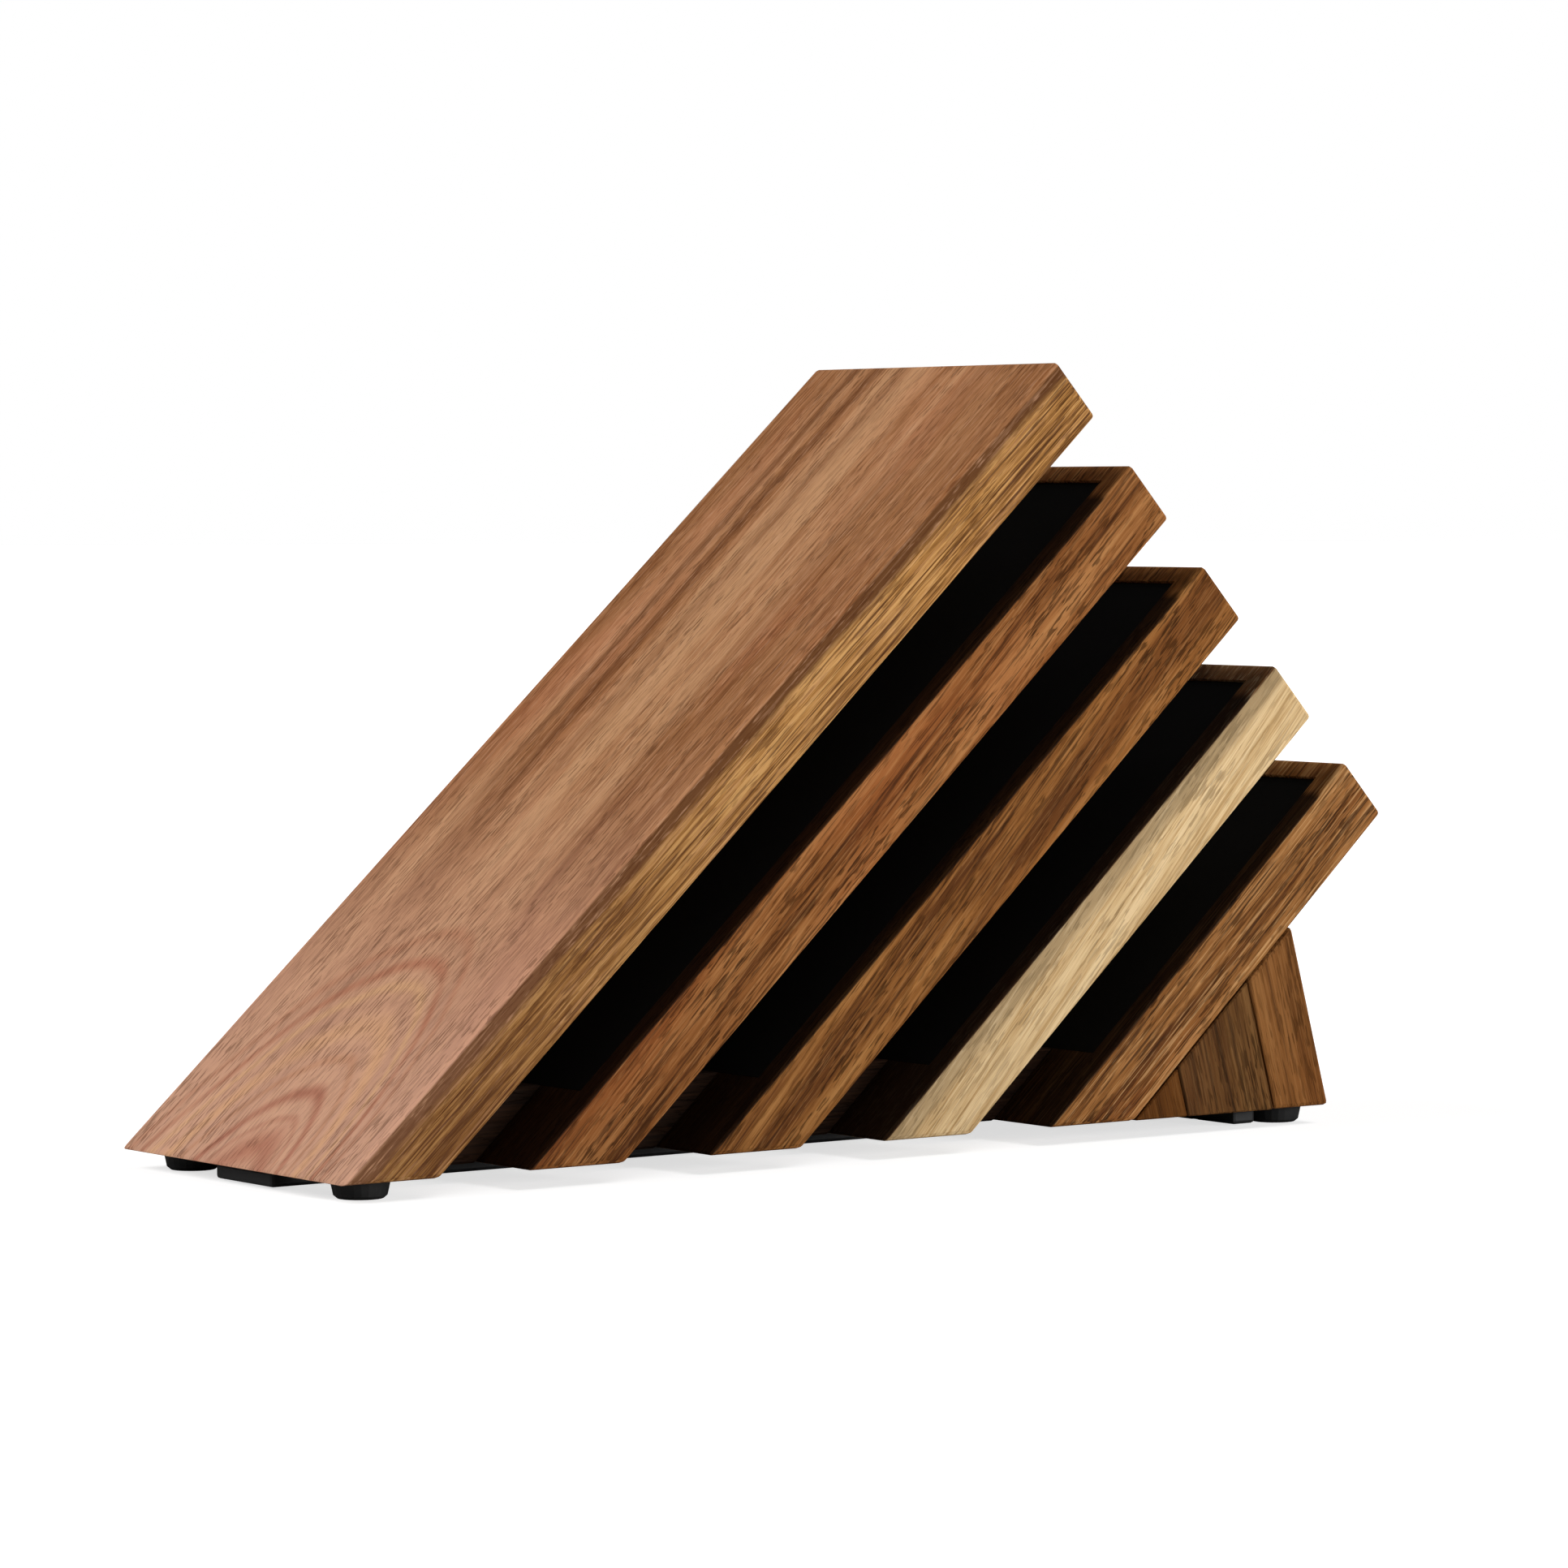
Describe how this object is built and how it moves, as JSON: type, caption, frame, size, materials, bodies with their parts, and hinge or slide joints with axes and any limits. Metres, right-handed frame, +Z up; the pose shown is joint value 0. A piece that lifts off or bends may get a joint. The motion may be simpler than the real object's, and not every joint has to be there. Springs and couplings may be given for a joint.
{
  "type": "knife block",
  "caption": "Stepped knife block of parallel leaning hardwood boards with open slots, black magnetic pads in the slots, a glued wedge prop behind and round rubber feet.",
  "frame": {"origin": "on the ground under the feet, at the middle of the outline seen from above", "axes": "+Z up; the tall front board faces -Y and the boards step down towards +Y; X runs across the boards, +X on the right of someone who looks along +Y"},
  "size_m": [0.11, 0.3469, 0.2132],
  "materials": {
    "acacia_red": "oiled, pinkish brown, satin",
    "acacia_brown": "oiled, reddish brown, satin",
    "acacia_pale": "oiled, blond sapwood, satin",
    "dowel": "bare",
    "pad": "matt black, felt-like",
    "magnet": "dark ferrite",
    "rubber": "matt black",
    "tie": "matt black",
    "screw": "zinc plated"
  },
  "bodies": {
    "root": {"front_board": "acacia_red", "board_2": "acacia_brown", "board_3": "acacia_brown", "board_4": "acacia_pale", "board_5": "acacia_brown", "spacer_1": "acacia_brown", "spacer_2": "acacia_brown", "spacer_3": "acacia_brown", "spacer_4": "acacia_brown", "prop_front_stave": "acacia_brown", "prop_middle_stave": "acacia_brown", "prop_rear_stave": "acacia_brown", "magnetic_pad_2": "pad", "magnetic_pad_3": "pad", "magnetic_pad_4": "pad", "magnetic_pad_5": "pad", "magnet_2_left": "magnet", "magnet_2_right": "magnet", "magnet_3_left": "magnet", "magnet_3_right": "magnet", "magnet_4_left": "magnet", "magnet_4_right": "magnet", "magnet_5_left": "magnet", "magnet_5_right": "magnet", "slot_1_dowel_left": "dowel", "slot_1_dowel_right": "dowel", "slot_2_dowel_left": "dowel", "slot_2_dowel_right": "dowel", "slot_3_dowel_left": "dowel", "slot_3_dowel_right": "dowel", "slot_4_dowel_left": "dowel", "slot_4_dowel_right": "dowel", "prop_dowel_left": "dowel", "prop_dowel_right": "dowel", "tie_rail": "tie", "tie_bar": "tie", "foot_front_left": "rubber", "foot_front_right": "rubber", "foot_rear_left": "rubber", "foot_rear_right": "rubber", "rail_screw_1": "screw", "rail_screw_2": "screw", "rail_screw_3": "screw", "rail_screw_4": "screw", "bar_screw_left": "screw", "bar_screw_right": "screw", "foot_screw_front_left": "screw", "foot_screw_front_right": "screw", "foot_screw_rear_left": "screw", "foot_screw_rear_right": "screw"}
  },
  "joints": []
}
